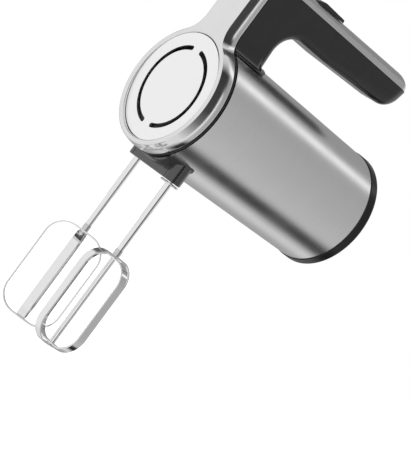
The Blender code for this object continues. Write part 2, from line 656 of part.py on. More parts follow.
def make_gearbox():
    base = slab("gearbox_base", [rectangle(-0.0330, -0.0140, 0.0330, 0.0264, 0.0030, 2)], -0.0200, -0.0165,
                "XY", "grey")
    for x in (-BEATER_X, BEATER_X):
        join(base, rod("base_boss", (x, 0, -0.0330), (x, 0, -0.0180), 0.0062, segments=20))
    rest = box("worm_rest", (-0.0060, -0.0205, -0.0190), (0.0060, -0.0128, 0.0060))
    join(base, rest)
    for x in (-BEATER_X, BEATER_X):
        cut(base, rod("base_bore", (x, 0, -0.040), (x, 0, -0.010), SPINDLE_R + GAP, segments=20))
    cut(base, rod("rest_bore", (0, -0.030, 0), (0, -0.010, 0), 0.0028, segments=16))
    cover = slab("gearbox_cover", [rectangle(-0.0330, -0.0090, 0.0330, 0.0264, 0.0030, 2)], 0.0070, 0.0095,
                 "XY", "grey")
    for x in (-BEATER_X, BEATER_X):
        cut(cover, rod("cover_bore", (x, 0, 0.0), (x, 0, 0.020), SPINDLE_R + GAP, segments=20))
    for name, x in (("gearbox_screw_left", -0.0285), ("gearbox_screw_right", 0.0285)):
        y, cover_top = 0.0228, 0.0095
        join(base, rod("gearbox_post", (x, y, -0.0170), (x, y, 0.0067), 0.0032, segments=16))
        cut(base, rod("post_bore", (x, y, -0.0010), (x, y, 0.0100), SCREW_R + GAP, segments=12))
        cut(cover, rod("cover_screw_hole", (x, y, 0.0), (x, y, 0.020), SCREW_R + GAP, segments=12))
        make_screw(name, (x, y, cover_top + GAP), (0, 0, -1), 0.0090)


# ---------------------------------------------------------------- motor

def make_motor_shaft():
    rod("motor_shaft", (0, -0.0220, 0), (0, 0.1180, 0), MOTOR_SHAFT_R, "steel", 20)
    bore = MOTOR_SHAFT_R + GAP
    hub = turned("fan_hub", [(0.0050, 0.0380), (0.0050, 0.0330), (bore, 0.0330), (bore, 0.0380)], None, 16)
    fan = turned("cooling_fan", [(0.0250, 0.0340), (0.0250, 0.0330), (bore, 0.0330), (bore, 0.0340)],
                 "nylon", 24)
    join(fan, hub)
    for i in range(7):
        blade = box("fan_blade", (0.0046, -0.0004, 0.0), (0.0240, 0.0004, 0.0045))
        blade.matrix_world = (Matrix.Translation((0, 0.0335, 0)) @ Matrix.Rotation(-pi / 2, 4, "X")
                              @ Matrix.Rotation(2 * pi * i / 7, 4, "Z"))
        join(fan, blade)


def make_armature():
    bore = MOTOR_SHAFT_R + GAP
    slab("armature_core", [toothed_outline(12, 0.0120, 0.0152, 0.80, 0.80), circle(bore, 20)],
         0.0460, 0.0760, "XZ", "iron")
    turned("front_winding", [(0.0088, 0.0457), (0.0088, 0.0400), (bore, 0.0400), (bore, 0.0457)],
           "copper", 16)
    turned("rear_winding", [(0.0088, 0.0820), (0.0088, 0.0763), (bore, 0.0763), (bore, 0.0820)],
           "copper", 16)
    turned("commutator", [(0.0080, 0.0930), (0.0080, 0.0830), (bore, 0.0830), (bore, 0.0930)],
           "copper", 16)


def make_stator():
    pole = radians(50)
    opening = (arc((0, 0), 0.0160, -pole, pole, 10)
               + [(0.0085, 0.0212), (-0.0085, 0.0212)]
               + arc((0, 0), 0.0160, pi - pole, pi + pole, 10)
               + [(-0.0085, -0.0212), (0.0085, -0.0212)])
    core = slab("stator_core", [rectangle(-0.0290, -0.0265, 0.0290, 0.0265, 0.0050, 3), opening],
                0.0465, 0.0755, "XZ", "iron")
    for side in (-1, 1):
        for level in (-1, 1):
            xs = sorted((side * 0.0092, side * 0.0184))
            zs = sorted((level * 0.0131, level * 0.0212))
            cut(core, box("coil_window", (xs[0], 0.030, zs[0]), (xs[1], 0.090, zs[1])))
    for name, side in (("left_field_coil", -1), ("right_field_coil", 1)):
        low, high = sorted((side * 0.0096, side * 0.0180))
        slab(name, [rectangle(0.0400, -0.0208, 0.0820, 0.0208, 0.0040, 3),
                    rectangle(0.0456, -0.0135, 0.0764, 0.0135, 0.0010, 2)], low, high, "YZ", "copper")


def make_bearings():
    bore = MOTOR_SHAFT_R + 0.0003
    for name, low, high in (("front_bearing", 0.0262, 0.0302), ("rear_bearing", 0.1060, 0.1120)):
        turned(name, [(0.0058, high), (0.0058, low), (bore, low), (bore, high)], "steel", 16)
    front = turned("front_bracket", [(0.0442, 0.0300), (0.0442, 0.0270), (0.0061, 0.0270),
                                     (0.0061, 0.0300)], "grey", 32)
    for i in range(6):
        angle = 2 * pi * (i + 0.5) / 6
        place = (0.0300 * cos(angle), 0.0300 * sin(angle))
        cut(front, slab("bracket_hole_%d" % i, [circle(0.0075, 10, place)], 0.020, 0.040, "XZ"))
    rear = turned("rear_bracket", [(0.0095, 0.1120), (0.0095, 0.1060), (0.0061, 0.1060),
                                   (0.0061, 0.1120)], "grey", 16)
    for side in (-1, 1):
        low, high = sorted((side * 0.0085, side * 0.0430))
        join(rear, box("bracket_arm", (low, 0.1065, -0.0060), (high, 0.1095, 0.0060)))


def make_brushes():
    for name, side in (("left", -1), ("right", 1)):
        low, high = sorted((side * 0.0083, side * 0.0180))
        box(name + "_brush", (low, 0.0855, -0.0025), (high, 0.0905, 0.0025), "carbon")
        low, high = sorted((side * 0.0105, side * 0.0230))
        holder = box(name + "_brush_holder", (low, 0.0840, -0.0040), (high, 0.0920, 0.0040), "nylon")
        cut_low, cut_high = sorted((side * 0.0080, side * 0.0215))
        cut(holder, box("holder_bore", (cut_low, 0.0852, -0.0028), (cut_high, 0.0908, 0.0028)))
        foot_low, foot_high = sorted((side * 0.0180, side * 0.0230))
        join(holder, box("holder_foot", (foot_low, 0.0915, -0.0040), (foot_high, 0.1062, 0.0040)))


# ---------------------------------------------------------------- beaters

def loop_outline(top, bottom, half):
    return rounded([(-half, bottom, 0.0160), (half, bottom, 0.0160),
                    (half, top, 0.0155), (-half, top, 0.0155)], 6)


def make_loop(name, x, turn, top, bottom):
    inset = STRIP_THICKNESS
    outer = loop_outline(top, bottom, LOOP_HALF)
    inner = rounded([(-LOOP_HALF + inset, bottom + inset, 0.0148), (LOOP_HALF - inset, bottom + inset, 0.0148),
                     (LOOP_HALF - inset, top - inset, 0.0143), (-LOOP_HALF + inset, top - inset, 0.0143)], 6)
    loop = slab(name, [outer, inner], -STRIP_WIDTH / 2, STRIP_WIDTH / 2, "XZ", "chrome", turn=turn,
                centre=(x, 0, 0))
    cut(loop, rod("loop_hole", (x, 0, LOOP_TOP_Z + 0.010), (x, 0, LOOP_BOTTOM_Z - 0.010),
                  TAIL_R + GAP, segments=16))


def make_beater(side_name, x, turn):
    shaft = rod(side_name + "_beater_shaft", (x, 0, LOOP_TOP_Z + 0.0020), (x, 0, 0.0100), SHAFT_R,
                "chrome", 24)
    tail = rod("beater_tail", (x, 0, LOOP_BOTTOM_Z), (x, 0, LOOP_TOP_Z + 0.0030), TAIL_R, segments=24)
    join(shaft, tail)
    turned(side_name + "_beater_hub", [(HUB_R, LOOP_TOP_Z + 0.0050), (HUB_R, LOOP_TOP_Z + GAP),
                                       (SHAFT_R + GAP, LOOP_TOP_Z + GAP),
                                       (SHAFT_R + GAP, LOOP_TOP_Z + 0.0050)],
           "steel", 20, along_y=False, centre=(x, 0, 0))
    nest = STRIP_THICKNESS + GAP
    make_loop(side_name + "_outer_loop", x, turn, LOOP_TOP_Z, LOOP_BOTTOM_Z)
    make_loop(side_name + "_inner_loop", x, turn + pi / 2, LOOP_TOP_Z - nest, LOOP_BOTTOM_Z + nest)


def make_beater_collar():
    low = BLOCK_BOTTOM_Z - 0.0022
    turned("right_beater_collar", [(0.0066, low + 0.0014), (0.0072, low + 0.0007), (0.0066, low),
                                   (SHAFT_R + GAP, low), (SHAFT_R + GAP, low + 0.0014)],
           "chrome", 24, along_y=False, centre=(BEATER_X, 0, 0))


# ---------------------------------------------------------------- fasteners

def make_screw(name, seat, direction, length):
    """A pan-head screw: seat is the underside of its head, direction the way the shank points."""
    seat, along = Vector(seat), Vector(direction)
    screw = rod(name, seat - along * SCREW_HEAD_HEIGHT, seat, SCREW_HEAD_R, "steel", 16)
    shank = rod("screw_shank", seat - along * SCREW_HEAD_HEIGHT / 2, seat + along * length, SCREW_R,
                segments=12)
    join(screw, shank)


# ---------------------------------------------------------------- assembly

def make_all():
    make_sleeve()
    make_rear_cap()
    make_bezel()
    make_grille()
    make_gasket()
    make_socket_block()
    make_trim()
    make_handle()
    make_handle_foot()
    make_cord_inlet()
    make_speed_slider()
    make_ejector()
    make_worm_drive()
    make_spindles()
    make_gearbox()
    make_motor_shaft()
    make_armature()
    make_stator()
    make_bearings()
    make_brushes()
    make_beater("left", -BEATER_X, LEFT_BEATER_TURN)
    make_beater("right", BEATER_X, RIGHT_BEATER_TURN)
    make_beater_collar()


def lift_assembly():
    """Hang every part and cutter under one empty, so the origin lies under the mixer."""
    origin = bpy.data.objects.new("mixer_origin", None)
    PARTS.objects.link(origin)
    bpy.context.view_layer.update()
    for item in list(PARTS.objects) + list(CUTTERS.objects):
        if item is not origin:
            item.parent = origin
    origin.location = (0.0, ORIGIN_Y, ORIGIN_Z)
    bpy.context.view_layer.update()


clear_scene()
PARTS = new_collection("hand_mixer")
CUTTERS = new_collection("hand_mixer_cutters")
make_all()
lift_assembly()
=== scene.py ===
"""Looks of the hand mixer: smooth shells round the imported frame, procedural finishes, light and camera."""

import json
from math import acos, asin, atan2, cos, pi, radians, sin, sqrt, tan

import bmesh
import bpy
from mathutils import Matrix, Vector


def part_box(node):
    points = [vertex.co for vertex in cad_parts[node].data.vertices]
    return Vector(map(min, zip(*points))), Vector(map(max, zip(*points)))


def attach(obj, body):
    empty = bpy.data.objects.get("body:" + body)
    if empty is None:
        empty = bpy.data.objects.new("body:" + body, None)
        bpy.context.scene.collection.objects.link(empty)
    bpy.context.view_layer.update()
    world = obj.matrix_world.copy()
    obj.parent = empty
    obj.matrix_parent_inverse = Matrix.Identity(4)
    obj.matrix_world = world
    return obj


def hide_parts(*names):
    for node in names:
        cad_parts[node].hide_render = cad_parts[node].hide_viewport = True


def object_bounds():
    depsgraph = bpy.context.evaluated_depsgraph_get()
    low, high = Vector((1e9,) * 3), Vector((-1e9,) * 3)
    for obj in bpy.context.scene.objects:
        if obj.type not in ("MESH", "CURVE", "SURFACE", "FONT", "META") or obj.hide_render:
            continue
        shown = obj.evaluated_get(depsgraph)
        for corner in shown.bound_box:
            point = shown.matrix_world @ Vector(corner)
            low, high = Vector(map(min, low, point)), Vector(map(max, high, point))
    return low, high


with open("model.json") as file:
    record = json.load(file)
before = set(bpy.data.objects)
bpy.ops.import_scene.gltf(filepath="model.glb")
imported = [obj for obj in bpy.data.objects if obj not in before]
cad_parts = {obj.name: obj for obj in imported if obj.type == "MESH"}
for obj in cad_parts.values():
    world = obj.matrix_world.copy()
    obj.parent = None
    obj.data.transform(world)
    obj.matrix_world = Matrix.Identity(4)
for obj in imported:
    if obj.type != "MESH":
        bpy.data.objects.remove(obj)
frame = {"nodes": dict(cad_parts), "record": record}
CAD_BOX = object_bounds()

# ---------------------------------------------------------------- dimensions (metres)
# Lengths are in the mixer's own frame: X across, Y rearwards from the beater shafts and
# Z upwards from the body's axis.

GAP = 0.0003
SLEEVE_FRONT_Y = -0.0178
SLEEVE_REAR_Y = 0.1401
SLEEVE_FRONT_R = 0.0479
SLEEVE_REAR_R = 0.0451
SLEEVE_WALL = 0.0010
HEEL_Y = 0.1484
CAP_RIM = 0.0006
BEZEL_FRONT_Y = -0.0323
BEZEL_REAR_Y = -0.0197
BEZEL_R = 0.0475
BEZEL_FLARE_R = 0.018
BEZEL_TOP_Z = 0.1094
NECK_HALF = 0.0163
BORE_R = 0.0422
GRILLE_R = 0.0419
GRILLE_Y = -0.0294
GRILLE_TILT = radians(2.0)
VENT_R = 0.0302
VENT_WIDTH = 0.0033
VENT_BRIDGE = radians(11.0)
HANDLE_HALF = 0.0154
HANDLE_REAR_Y = 0.1330
SKIRT_FLARE_R = 0.0200
PAD_R = SLEEVE_FRONT_R + GAP + 0.0006
HANDLE_WALL = 0.0032
TRIM_HALF = 0.0156
TRIM_TOP_Z = 0.1092
TRIM_CROWN_R = 0.0258
TRIM_BASE_Z = 0.1011
TRIM_FALL = 0.0076
SHAFT_R = 0.0025
TAIL_R = 0.0021
SPINDLE_R = 0.0040
BLOCK_BOTTOM_Z = -0.0528
BLOCK_HALF_X = 0.0298
BLOCK_HALF_Y = 0.0072
LOOP_HALF = 0.0226
LOOP_TOP_Z = -0.1156
LOOP_BOTTOM_Z = -0.1915
HUB_R = 0.0028
STRIP_THICKNESS = 0.0012
STRIP_WIDTH = 0.0064
BEATER_TURNS = {"left": radians(51.2), "right": radians(96.2)}
KNOB_FRONT_Y = 0.0230
KNOB_REAR_Y = 0.0530
KNOB_TRAVEL = 0.0140
BUTTON_FRONT_Y = -0.0140
BUTTON_REAR_Y = -0.0020
HANDLE_SCREW_YS = (0.0740, 0.1130)
HANDLE_SCREW_Z = 0.0900
INLET_Z = 0.0905
ROD_OPENING_HALF = 0.0110


def box_middle(node):
    low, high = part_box(node)
    return (low + high) / 2


BEATER_X = box_middle("right_beater_shaft").x
ORIGIN = Vector((0.0, box_middle("right_beater_shaft").y,
                 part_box("left_outer_loop")[0].z - LOOP_BOTTOM_Z))


# ---------------------------------------------------------------- outlines

def arc(centre, radius, start, end, steps):
    """Points along an arc, both ends included."""
    return [(centre[0] + radius * cos(start + (end - start) * i / steps),
             centre[1] + radius * sin(start + (end - start) * i / steps)) for i in range(steps + 1)]


def circle(radius, steps):
    return arc((0.0, 0.0), radius, 0.0, 2 * pi * (steps - 1) / steps, steps - 1)


def rounded(corners, steps=10, inset=0.0):
    """A counter-clockwise outline from (across, up, radius) corners, moved inwards by inset."""
    count = len(corners)
    outline = []
    for i, (x, y, radius) in enumerate(corners):
        here = Vector((x, y))
        before = (here - Vector(corners[i - 1][:2])).normalized()
        after = (Vector(corners[(i + 1) % count][:2]) - here).normalized()
        in_before = Vector((-before.y, before.x))
        in_after = Vector((-after.y, after.x))
        place = here + (in_before + in_after) * (inset / (1 + in_before.dot(in_after)))
        turn = before.x * after.y - before.y * after.x
        reach = radius - inset if turn > 0 else radius + inset
        if radius == 0:
            outline.append((place.x, place.y))
            continue
        reach = max(reach, 0.0001)
        half = acos(max(-1.0, min(1.0, -before.dot(after)))) / 2
        centre = place + (after - before).normalized() * (reach / sin(half))
        first = place - before * (reach / tan(half)) - centre
        last = place + after * (reach / tan(half)) - centre
        start = atan2(first.y, first.x)
        sweep = (atan2(last.y, last.x) - start + pi) % (2 * pi) - pi
        outline += arc(centre, reach, start, start + sweep, steps)
    return outline


def rectangle(low_x, low_y, high_x, high_y, radius=0.0, steps=8, inset=0.0):
    return rounded([(low_x, low_y, radius), (high_x, low_y, radius),
                    (high_x, high_y, radius), (low_x, high_y, radius)], steps, inset)


def edge_layers(low, high, radius, steps=8):
    """(depth, inset) pairs of a slab whose two rims are rounded by radius."""
    quarter = [(radius * (1 - cos(pi / 2 * i / steps)), radius * (1 - sin(pi / 2 * i / steps)))
               for i in range(steps + 1)]
    return ([(low + depth, inset) for depth, inset in quarter]
            + [(high - depth, inset) for depth, inset in reversed(quarter)])


# ---------------------------------------------------------------- mesh building

PLANES = {
    "XY": lambda u, v, depth: (u, v, depth),
    "YZ": lambda u, v, depth: (depth, u, v),
    "XZ": lambda u, v, depth: (u, depth, v),
}


def as_object(name, bm):
    """A bmesh, its normals turned outwards, as a new object in the mixer's own frame."""
    bmesh.ops.remove_doubles(bm, verts=bm.verts, dist=0.0000005)
    bmesh.ops.recalc_face_normals(bm, faces=bm.faces)
    mesh = bpy.data.meshes.new(name)
    bm.to_mesh(mesh)
    bm.free()
    made = bpy.data.objects.new(name, mesh)
    bpy.context.scene.collection.objects.link(made)
    return made


def skin(name, rings, loop=False):
    """Quads between successive closed rings of points, with the end rings filled or joined up."""
    bm = bmesh.new()
    rows = [[bm.verts.new(point) for point in ring] for ring in rings]
    count = len(rows[0])
    following = rows[1:] + (rows[:1] if loop else [])
    for low, high in zip(rows, following):
        for i in range(count):
            j = (i + 1) % count
            bm.faces.new((low[i], low[j], high[j], high[i]))
    if not loop:
        bm.faces.new(list(reversed(rows[0])))
        bm.faces.new(rows[-1])
    return as_object(name, bm)


def layered(name, outline, layers, plane):
    """Stack an outline, a function of its inset, through (depth, inset) layers."""
    place = PLANES[plane]
    return skin(name, [[place(u, v, depth) for u, v in outline(inset)] for depth, inset in layers])


def prism(name, outline, low, high, plane):
    return layered(name, lambda inset: outline, [(low, 0.0), (high, 0.0)], plane)


def box(name, low, high):
    return prism(name, [(low[0], low[1]), (high[0], low[1]), (high[0], high[1]), (low[0], high[1])],
                 low[2], high[2], "XY")


def lathe(name, profile, segments=128, axis="Y", centre=(0, 0, 0)):
    """Turn a closed (radius, distance) profile about an axis through centre."""
    rings = []
    for i in range(segments):
        c, s = cos(2 * pi * i / segments), sin(2 * pi * i / segments)
        if axis == "Y":
            ring = [(r * s, d, r * c) for r, d in profile]
        elif axis == "Z":
            ring = [(r * c, r * s, d) for r, d in profile]
        else:
            ring = [(d, r * c, r * s) for r, d in profile]
        rings.append([tuple(Vector(p) + Vector(centre)) for p in ring])
    return skin(name, rings, loop=True)


def rod(name, axis, centre, radius, low, high, segments=64):
    return lathe(name, [(0.0, low), (radius, low), (radius, high), (0.0, high)], segments, axis, centre)


def apply_modifiers(piece):
    bpy.context.view_layer.update()
    depsgraph = bpy.context.evaluated_depsgraph_get()
    mesh = bpy.data.meshes.new_from_object(piece.evaluated_get(depsgraph))
    old = piece.data
    piece.modifiers.clear()
    piece.data = mesh
    bpy.data.meshes.remove(old)


def carve(piece, operation, *tools):
    """Boolean the piece with each tool in turn and remove the tools."""
    for tool in tools:
        modifier = piece.modifiers.new("carve", "BOOLEAN")
        modifier.operation = operation
        modifier.solver = "EXACT"
        modifier.object = tool
        apply_modifiers(piece)
        bpy.data.meshes.remove(tool.data)
    return piece


def slice_off(piece, point, normal):
    """Remove what lies on the normal's side of a plane and close the cut."""
    bm = bmesh.new()
    bm.from_mesh(piece.data)
    cut = bmesh.ops.bisect_plane(bm, geom=bm.verts[:] + bm.edges[:] + bm.faces[:], plane_co=point,
                                 plane_no=normal, clear_outer=True)["geom_cut"]
    bmesh.ops.contextual_create(bm, geom=[item for item in cut if isinstance(item, bmesh.types.BMEdge)])
    bmesh.ops.recalc_face_normals(bm, faces=bm.faces)
    bm.to_mesh(piece.data)
    bm.free()
    return piece


def dress(piece, slot, body, *nodes, angle=35):
    """Give a finished piece its material and its place in the frame."""
    piece.data.transform(Matrix.Translation(ORIGIN))
    piece.data.materials.clear()
    piece.data.materials.append(FINISHES[slot])
    piece.data.shade_smooth()
    piece.data.set_sharp_from_angle(angle=radians(angle))
    normals = piece.modifiers.new("even normals", "WEIGHTED_NORMAL")
    normals.keep_sharp = True
    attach(piece, body)
    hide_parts(*nodes)
    return piece


# ---------------------------------------------------------------- finishes

def new_finish(name, colour, metallic, roughness, specular=0.5, anisotropy=0.0):
    material = bpy.data.materials.new(name)
    material.use_nodes = True
    shader = material.node_tree.nodes["Principled BSDF"]
    shader.inputs["Base Color"].default_value = (*colour, 1.0)
    shader.inputs["Metallic"].default_value = metallic
    shader.inputs["Roughness"].default_value = roughness
    shader.inputs["Specular IOR Level"].default_value = specular
    shader.inputs["Anisotropic"].default_value = anisotropy
    return material, material.node_tree, shader


def noise(tree, scale, stretch=(1, 1, 1), detail=3.0):
    """Noise in the piece's own space; scale is in features a metre."""
    mapping = tree.nodes.new("ShaderNodeMapping")
    mapping.inputs["Scale"].default_value = stretch
    source = tree.nodes.new("ShaderNodeTexCoord").outputs["Object"]
    tree.links.new(source, mapping.inputs["Vector"])
    texture = tree.nodes.new("ShaderNodeTexNoise")
    texture.inputs["Scale"].default_value = scale
    texture.inputs["Detail"].default_value = detail
    tree.links.new(mapping.outputs["Vector"], texture.inputs["Vector"])
    return texture.outputs["Fac"]


def spread(tree, value, low, high):
    """Stretch a noise's middle range over low to high."""
    node = tree.nodes.new("ShaderNodeMapRange")
    node.inputs["From Min"].default_value = 0.3
    node.inputs["From Max"].default_value = 0.7
    node.inputs["To Min"].default_value = low
    node.inputs["To Max"].default_value = high
    tree.links.new(value, node.inputs["Value"])
    return node.outputs["Result"]


def tint(tree, shader, value, first, second):
    """Vary the base colour between two close colours."""
    node = tree.nodes.new("ShaderNodeMix")
    node.data_type = "RGBA"
    node.inputs["A"].default_value = (*first, 1.0)
    node.inputs["B"].default_value = (*second, 1.0)
    tree.links.new(spread(tree, value, 0.0, 1.0), node.inputs["Factor"])
    tree.links.new(node.outputs["Result"], shader.inputs["Base Color"])


def roughen(tree, shader, value, low, high):
    tree.links.new(spread(tree, value, low, high), shader.inputs["Roughness"])


def relief(tree, shader, value, strength, depth):
    """Raise the surface by a height pattern, depth in metres."""
    bump = tree.nodes.new("ShaderNodeBump")
    bump.inputs["Strength"].default_value = strength
    bump.inputs["Distance"].default_value = depth
    tree.links.new(value, bump.inputs["Height"])
    tree.links.new(bump.outputs["Normal"], shader.inputs["Normal"])


def shade(value):
    return (value, value, value)


def brushed_steel(name, level, roughness, round_y=True):
    """Brushed metal whose fine lines run round the Y axis, or along Z."""
    material, tree, shader = new_finish(name, shade(level), 1.0, roughness, anisotropy=0.35)
    stretch = (0.02, 1.0, 0.02) if round_y else (1.0, 1.0, 0.02)
    lines = noise(tree, 2600, stretch, 2.0)
    cloud = noise(tree, 45)
    tint(tree, shader, lines, shade(level * 0.965), shade(level * 1.02))
    roughen(tree, shader, cloud, roughness * 0.92, roughness * 1.08)
    relief(tree, shader, lines, 0.10, 0.00002)
    tangent = tree.nodes.new("ShaderNodeTangent")
    tangent.direction_type = "RADIAL"
    tangent.axis = "Y" if round_y else "Z"
    tree.links.new(tangent.outputs["Tangent"], shader.inputs["Tangent"])
    return material


def polished_metal(name, level, roughness):
    """Polished metal with faint polishing swirls and wipe marks."""
    material, tree, shader = new_finish(name, shade(level), 1.0, roughness)
    tint(tree, shader, noise(tree, 70), shade(level * 0.97), shade(level))
    roughen(tree, shader, noise(tree, 240, detail=5.0), roughness * 0.7, roughness * 1.35)
    relief(tree, shader, noise(tree, 900), 0.02, 0.00002)
    return material


def satin_metal(name, level, roughness):
    """Bead-blasted, painted-silver metal with a very fine grain."""
    material, tree, shader = new_finish(name, shade(level), 1.0, roughness)
    grain = noise(tree, 3800)
    tint(tree, shader, grain, shade(level * 0.975), shade(level))
    roughen(tree, shader, noise(tree, 160), roughness * 0.94, roughness * 1.06)
    relief(tree, shader, grain, 0.05, 0.00001)
    return material


def moulded_plastic(name, level, roughness, specular=0.5, depth=0.00002):
    """Moulded plastic: a fine skin grain and slight gloss changes."""
    material, tree, shader = new_finish(name, shade(level), 0.0, roughness, specular)
    pattern = noise(tree, 2400)
    tint(tree, shader, noise(tree, 110), shade(level * 0.9), shade(level * 1.1))
    roughen(tree, shader, noise(tree, 320), roughness * 0.85, roughness * 1.15)
    relief(tree, shader, pattern, 0.12, depth)
    return material


def tinted(name, first, second, roughness, metallic=0.0, grain=900, stretch=(1, 1, 1), depth=0.00003):
    """A coloured finish with grain, for the parts inside."""
    material, tree, shader = new_finish(name, first, metallic, roughness)
    pattern = noise(tree, grain, stretch)
    tint(tree, shader, pattern, first, second)
    roughen(tree, shader, noise(tree, 300), roughness * 0.85, roughness * 1.15)
    relief(tree, shader, pattern, 0.25, depth)
    return material


FINISHES = {
    "sleeve_steel": brushed_steel("sleeve_steel", 0.80, 0.22),
    "bezel_chrome": polished_metal("bezel_chrome", 0.74, 0.11),
    "beater_chrome": polished_metal("beater_chrome", 0.80, 0.08),
    "steel_parts": brushed_steel("steel_parts", 0.60, 0.30, round_y=False),
    "face_silver": satin_metal("face_silver", 0.90, 0.30),
    "trim_silver": satin_metal("trim_silver", 0.62, 0.26),
    "cap_black": moulded_plastic("cap_black", 0.006, 0.24, specular=0.3),
    "handle_black": moulded_plastic("handle_black", 0.012, 0.12, depth=0.000005),
    "control_black": moulded_plastic("control_black", 0.014, 0.22),
    "block_grey": moulded_plastic("block_grey", 0.016, 0.16, specular=1.0),
    "gasket_rubber": moulded_plastic("gasket_rubber", 0.010, 0.65),
    "frame_plastic": moulded_plastic("frame_plastic", 0.035, 0.50),
    "gear_nylon": tinted("gear_nylon", (0.72, 0.70, 0.64), (0.80, 0.78, 0.72), 0.5),
    "core_iron": tinted("core_iron", (0.20, 0.20, 0.21), (0.30, 0.29, 0.29), 0.55, 0.8, 2000,
                        (0.02, 1, 0.02)),
    "winding_copper": tinted("winding_copper", (0.55, 0.22, 0.10), (0.78, 0.38, 0.20), 0.35, 1.0, 1800,
                             (0.05, 1, 0.05)),
    "brush_carbon": tinted("brush_carbon", (0.03, 0.03, 0.03), (0.07, 0.07, 0.07), 0.7),
    "board_green": tinted("board_green", (0.03, 0.16, 0.07), (0.06, 0.26, 0.12), 0.45),
}


# ---------------------------------------------------------------- body

def make_sleeve():
    """Thin tapered tube, open at the top for the ejector rod and below for the socket block."""
    notch = asin((BLOCK_HALF_X - 0.0012) / SLEEVE_FRONT_R)
    hole = asin(ROD_OPENING_HALF / SLEEVE_FRONT_R)
    angles = sorted([radians(2.5 * i) for i in range(144)] + [hole, 2 * pi - hole, pi - notch, pi + notch])
    rows = [SLEEVE_FRONT_Y, -0.0130, 0.0060, BLOCK_HALF_Y + GAP]
    rows += [rows[-1] + (SLEEVE_REAR_Y - rows[-1]) * i / 14 for i in range(1, 15)]
    bm = bmesh.new()
    grid = []
    for y in rows:
        share = (y - SLEEVE_FRONT_Y) / (SLEEVE_REAR_Y - SLEEVE_FRONT_Y)
        r = SLEEVE_FRONT_R + (SLEEVE_REAR_R - SLEEVE_FRONT_R) * share
        grid.append([bm.verts.new((r * sin(a), y, r * cos(a))) for a in angles])
    for j in range(len(rows) - 1):
        for i in range(len(angles)):
            k = (i + 1) % len(angles)
            end = angles[k] if k else 2 * pi
            middle = (angles[i] + end) / 2
            at_block = abs(middle - pi) < notch and rows[j + 1] <= BLOCK_HALF_Y + 2 * GAP
            at_rod = min(middle, 2 * pi - middle) < hole and j == 1
            if not (at_block or at_rod):
                bm.faces.new((grid[j][i], grid[j][k], grid[j + 1][k], grid[j + 1][i]))
    loose = [v for v in bm.verts if not v.link_faces]
    bmesh.ops.delete(bm, geom=loose, context="VERTS")
    sleeve = as_object("sleeve_tube", bm)
    wall = sleeve.modifiers.new("wall", "SOLIDIFY")
    wall.thickness = SLEEVE_WALL
    wall.offset = -1.0
    apply_modifiers(sleeve)
    dress(sleeve, "sleeve_steel", "root", "body_sleeve")


def make_rear_cap():
    """Cup with a rounded rim, a spigot inside the sleeve and outlet slots in its flat heel."""
    lip_y = SLEEVE_REAR_Y + GAP
    rim = SLEEVE_REAR_R + CAP_RIM
    soft = 0.0020
    spigot = SLEEVE_REAR_R - SLEEVE_WALL - GAP
    rim_arc = [(rim - soft + soft * sin(a), HEEL_Y - soft + soft * cos(a))
               for a in [pi / 2 * i / 12 for i in range(13)]]
    cap = lathe("rear_cap_shell", [(0.0, HEEL_Y)] + rim_arc + [
        (rim, lip_y + 0.0003), (rim - 0.0003, lip_y), (spigot, lip_y), (spigot, lip_y - 0.0090),
        (spigot - 0.0020, lip_y - 0.0090), (spigot - 0.0020, HEEL_Y - 0.0040), (0.0, HEEL_Y - 0.0040)], 160)
    for i in range(5):
        z = (i - 2) * 0.0070
        half = 0.0160 - abs(i - 2) * 0.0025
        slot = rectangle(-half, z - 0.0014, half, z + 0.0014, 0.0013)
        carve(cap, "DIFFERENCE", prism("outlet", slot, HEEL_Y - 0.006, HEEL_Y + 0.002, "XZ"))
    dress(cap, "cap_black", "root", "rear_cap")


RING_STEPS = 60
FLARE_STEPS = 14
NECK_STEPS = 16
CORNER_STEPS = 6
TOP_STEPS = 22


def bezel_half(inset):
    """Right half of the ring-and-neck outline, from the bottom up, moved inwards by inset."""
    flare_x = NECK_HALF + BEZEL_FLARE_R
    flare_z = sqrt((BEZEL_R + BEZEL_FLARE_R) ** 2 - flare_x ** 2)
    angle = atan2(flare_z, flare_x)
    neck = NECK_HALF - inset
    corner = max(0.006 - inset, 0.0005)
    top = BEZEL_TOP_Z - inset
    points = arc((0, 0), BEZEL_R - inset, -pi / 2, angle, RING_STEPS)
    points += arc((flare_x, flare_z), BEZEL_FLARE_R + inset, angle + pi, pi, FLARE_STEPS)[1:]
    points += [(neck, flare_z + (top - corner - flare_z) * i / NECK_STEPS) for i in range(1, NECK_STEPS + 1)]
    points += arc((neck - corner, top - corner), corner, 0, pi / 2, CORNER_STEPS)[1:]
    return points


def bezel_depths(z):
    """Front and rear of the bezel at height z: the neck's top curves back."""
    radius = 0.012
    rise = max(0.0, z - (BEZEL_TOP_Z - radius))
    front = BEZEL_FRONT_Y + radius - sqrt(max(0.0, radius ** 2 - rise ** 2))
    front += 0.0008 * max(0.0, (z - 0.058) / 0.050) ** 2
    return min(front, BEZEL_REAR_Y - 0.0003), BEZEL_REAR_Y


def bezel_layers():
    """(share of depth, inset) from front to rear: a rounded front rim, a side that widens to the rear."""
    def side(share):
        return 0.0032 * (share - 0.75) ** 2

    first, last = 0.14, 0.90
    layers = [(first * (1 - cos(pi / 2 * i / 8)), side(first) + 0.0016 * (1 - sin(pi / 2 * i / 8)))
              for i in range(9)]
    layers += [(share, side(share)) for share in (0.20, 0.28, 0.36, 0.44, 0.52, 0.60, 0.68, 0.76, 0.84, last)]
    for i in range(1, 7):
        a = pi / 2 * i / 6
        layers.append((last + (1 - last) * sin(a), side(last) + 0.0012 * (1 - cos(a))))
    return layers


